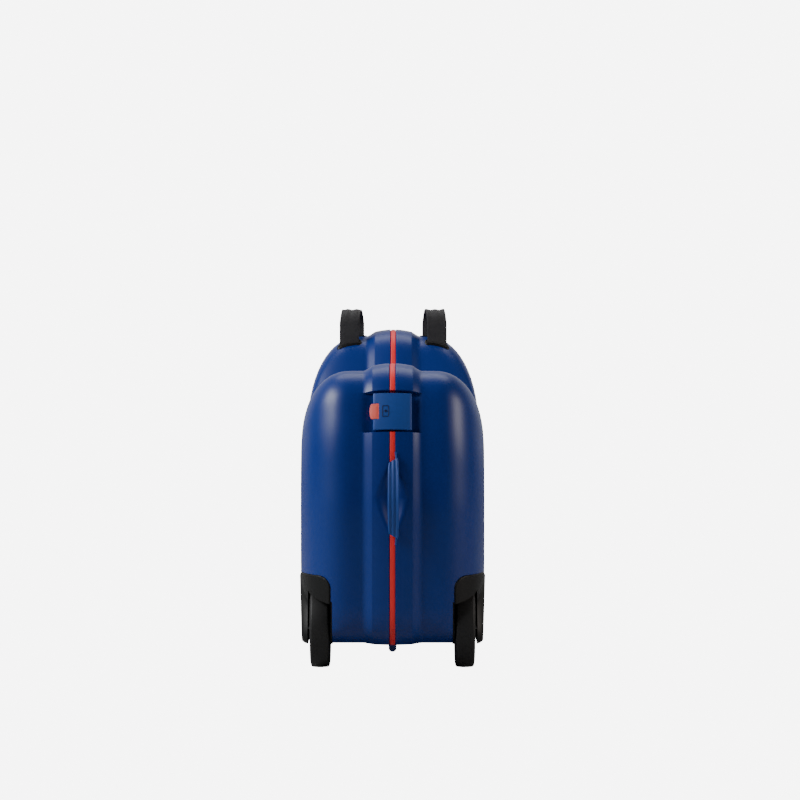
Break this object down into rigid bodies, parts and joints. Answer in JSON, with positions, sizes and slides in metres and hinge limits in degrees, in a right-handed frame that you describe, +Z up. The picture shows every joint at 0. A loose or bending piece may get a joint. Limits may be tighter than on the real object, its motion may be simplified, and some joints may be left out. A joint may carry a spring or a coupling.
{
  "type": "kids ride-on suitcase",
  "caption": "Hard two-shell ride-on suitcase with a saddle between two humps, hinged underneath, with wheels, latches, grab handles and webbing grips.",
  "frame": {"origin": "on the ground under the middle of the case: bottom centre of the bounding box", "axes": "+X to the case's right seen from the rear, +Y along its length from the rear end with the big wheels to the front end with the webbing loops, +Z up"},
  "size_m": [0.2102, 0.5318, 0.409],
  "materials": {
    "shell_blue": "satin moulded polypropylene",
    "coral": "satin elastomer",
    "black_plastic": "fine textured",
    "rubber": "matt",
    "steel": "zinc plated",
    "webbing": "woven polyester",
    "mesh": "lining mesh"
  },
  "bodies": {
    "right_half": {"right_shell": "shell_blue", "seal_band": "coral", "hinge_leaf_right": "shell_blue", "hinge_pin": "steel", "rear_housing_right": "black_plastic", "rear_axle_right": "steel", "axle_cap_right": "black_plastic", "caster_socket_right": "black_plastic", "latch_base_rear": "shell_blue", "latch_base_front": "shell_blue", "latch_pin_rear": "steel", "latch_pin_front": "steel", "grab_handle_rear": "shell_blue", "grab_handle_front": "shell_blue", "webbing_handle_right": "webbing", "webbing_bezel_right": "black_plastic", "webbing_anchor_right": "black_plastic", "packing_strap": "webbing", "strap_buckle": "black_plastic", "strap_anchor_rear": "black_plastic", "strap_anchor_front": "black_plastic"},
    "left_half": {"left_shell": "shell_blue", "hinge_leaf_left": "shell_blue", "rear_housing_left": "black_plastic", "rear_axle_left": "steel", "axle_cap_left": "black_plastic", "caster_socket_left": "black_plastic", "latch_keeper_rear": "shell_blue", "latch_keeper_front": "shell_blue", "webbing_handle_left": "webbing", "webbing_bezel_left": "black_plastic", "webbing_anchor_left": "black_plastic", "side_pocket": "mesh"},
    "rear_wheel_right": {"rear_tyre_right": "rubber", "rear_hub_right": "black_plastic"},
    "rear_wheel_left": {"rear_tyre_left": "rubber", "rear_hub_left": "black_plastic"},
    "caster_right": {"caster_fork_right": "black_plastic", "caster_clip_right": "steel", "caster_axle_right": "steel"},
    "caster_left": {"caster_fork_left": "black_plastic", "caster_clip_left": "steel", "caster_axle_left": "steel"},
    "caster_wheel_right": {"caster_tyre_right": "rubber", "caster_hub_right": "black_plastic"},
    "caster_wheel_left": {"caster_tyre_left": "rubber", "caster_hub_left": "black_plastic"},
    "rear_latch": {"latch_flap_rear": "shell_blue", "button_spring_rear": "steel"},
    "front_latch": {"latch_flap_front": "shell_blue", "button_spring_front": "steel"},
    "rear_button": {"latch_button_rear": "coral"},
    "front_button": {"latch_button_front": "coral"}
  },
  "joints": [
    {"name": "shell_hinge", "type": "hinge", "parent": "right_half", "child": "left_half", "pos_m": [0, 0, 0.022], "axis": [0, -1, 0], "range_deg": [0, 120]},
    {"name": "rear_wheel_right_spin", "type": "hinge", "parent": "right_half", "child": "rear_wheel_right", "pos_m": [0.0812, -0.19, 0.046], "axis": [1, 0, 0], "continuous": true},
    {"name": "rear_wheel_left_spin", "type": "hinge", "parent": "left_half", "child": "rear_wheel_left", "pos_m": [-0.0812, -0.19, 0.046], "axis": [1, 0, 0], "continuous": true},
    {"name": "caster_right_swivel", "type": "hinge", "parent": "right_half", "child": "caster_right", "pos_m": [0.058, 0.19, 0.06], "axis": [0, 0, 1], "continuous": true},
    {"name": "caster_left_swivel", "type": "hinge", "parent": "left_half", "child": "caster_left", "pos_m": [-0.058, 0.19, 0.06], "axis": [0, 0, 1], "continuous": true},
    {"name": "caster_right_spin", "type": "hinge", "parent": "caster_right", "child": "caster_wheel_right", "pos_m": [0.058, 0.18, 0.02], "axis": [1, 0, 0], "continuous": true},
    {"name": "caster_left_spin", "type": "hinge", "parent": "caster_left", "child": "caster_wheel_left", "pos_m": [-0.058, 0.18, 0.02], "axis": [1, 0, 0], "continuous": true},
    {"name": "rear_latch_hinge", "type": "hinge", "parent": "right_half", "child": "rear_latch", "pos_m": [0.0191, -0.23512, 0.2888], "axis": [0, 0.2689, 0.9632], "range_deg": [0, 90]},
    {"name": "front_latch_hinge", "type": "hinge", "parent": "right_half", "child": "front_latch", "pos_m": [0.0191, 0.23922, 0.28862], "axis": [0, 0.1374, -0.9905], "range_deg": [0, 90]},
    {"name": "rear_button_push", "type": "slide", "parent": "rear_latch", "child": "rear_button", "axis": [1, 0, 0], "range_m": [0, 0.003], "stiffness_N_per_m": 400, "springref_m": -0.001, "deforming": ["button_spring_rear"]},
    {"name": "front_button_push", "type": "slide", "parent": "front_latch", "child": "front_button", "axis": [1, 0, 0], "range_m": [0, 0.003], "stiffness_N_per_m": 400, "springref_m": -0.001, "deforming": ["button_spring_front"]}
  ]
}
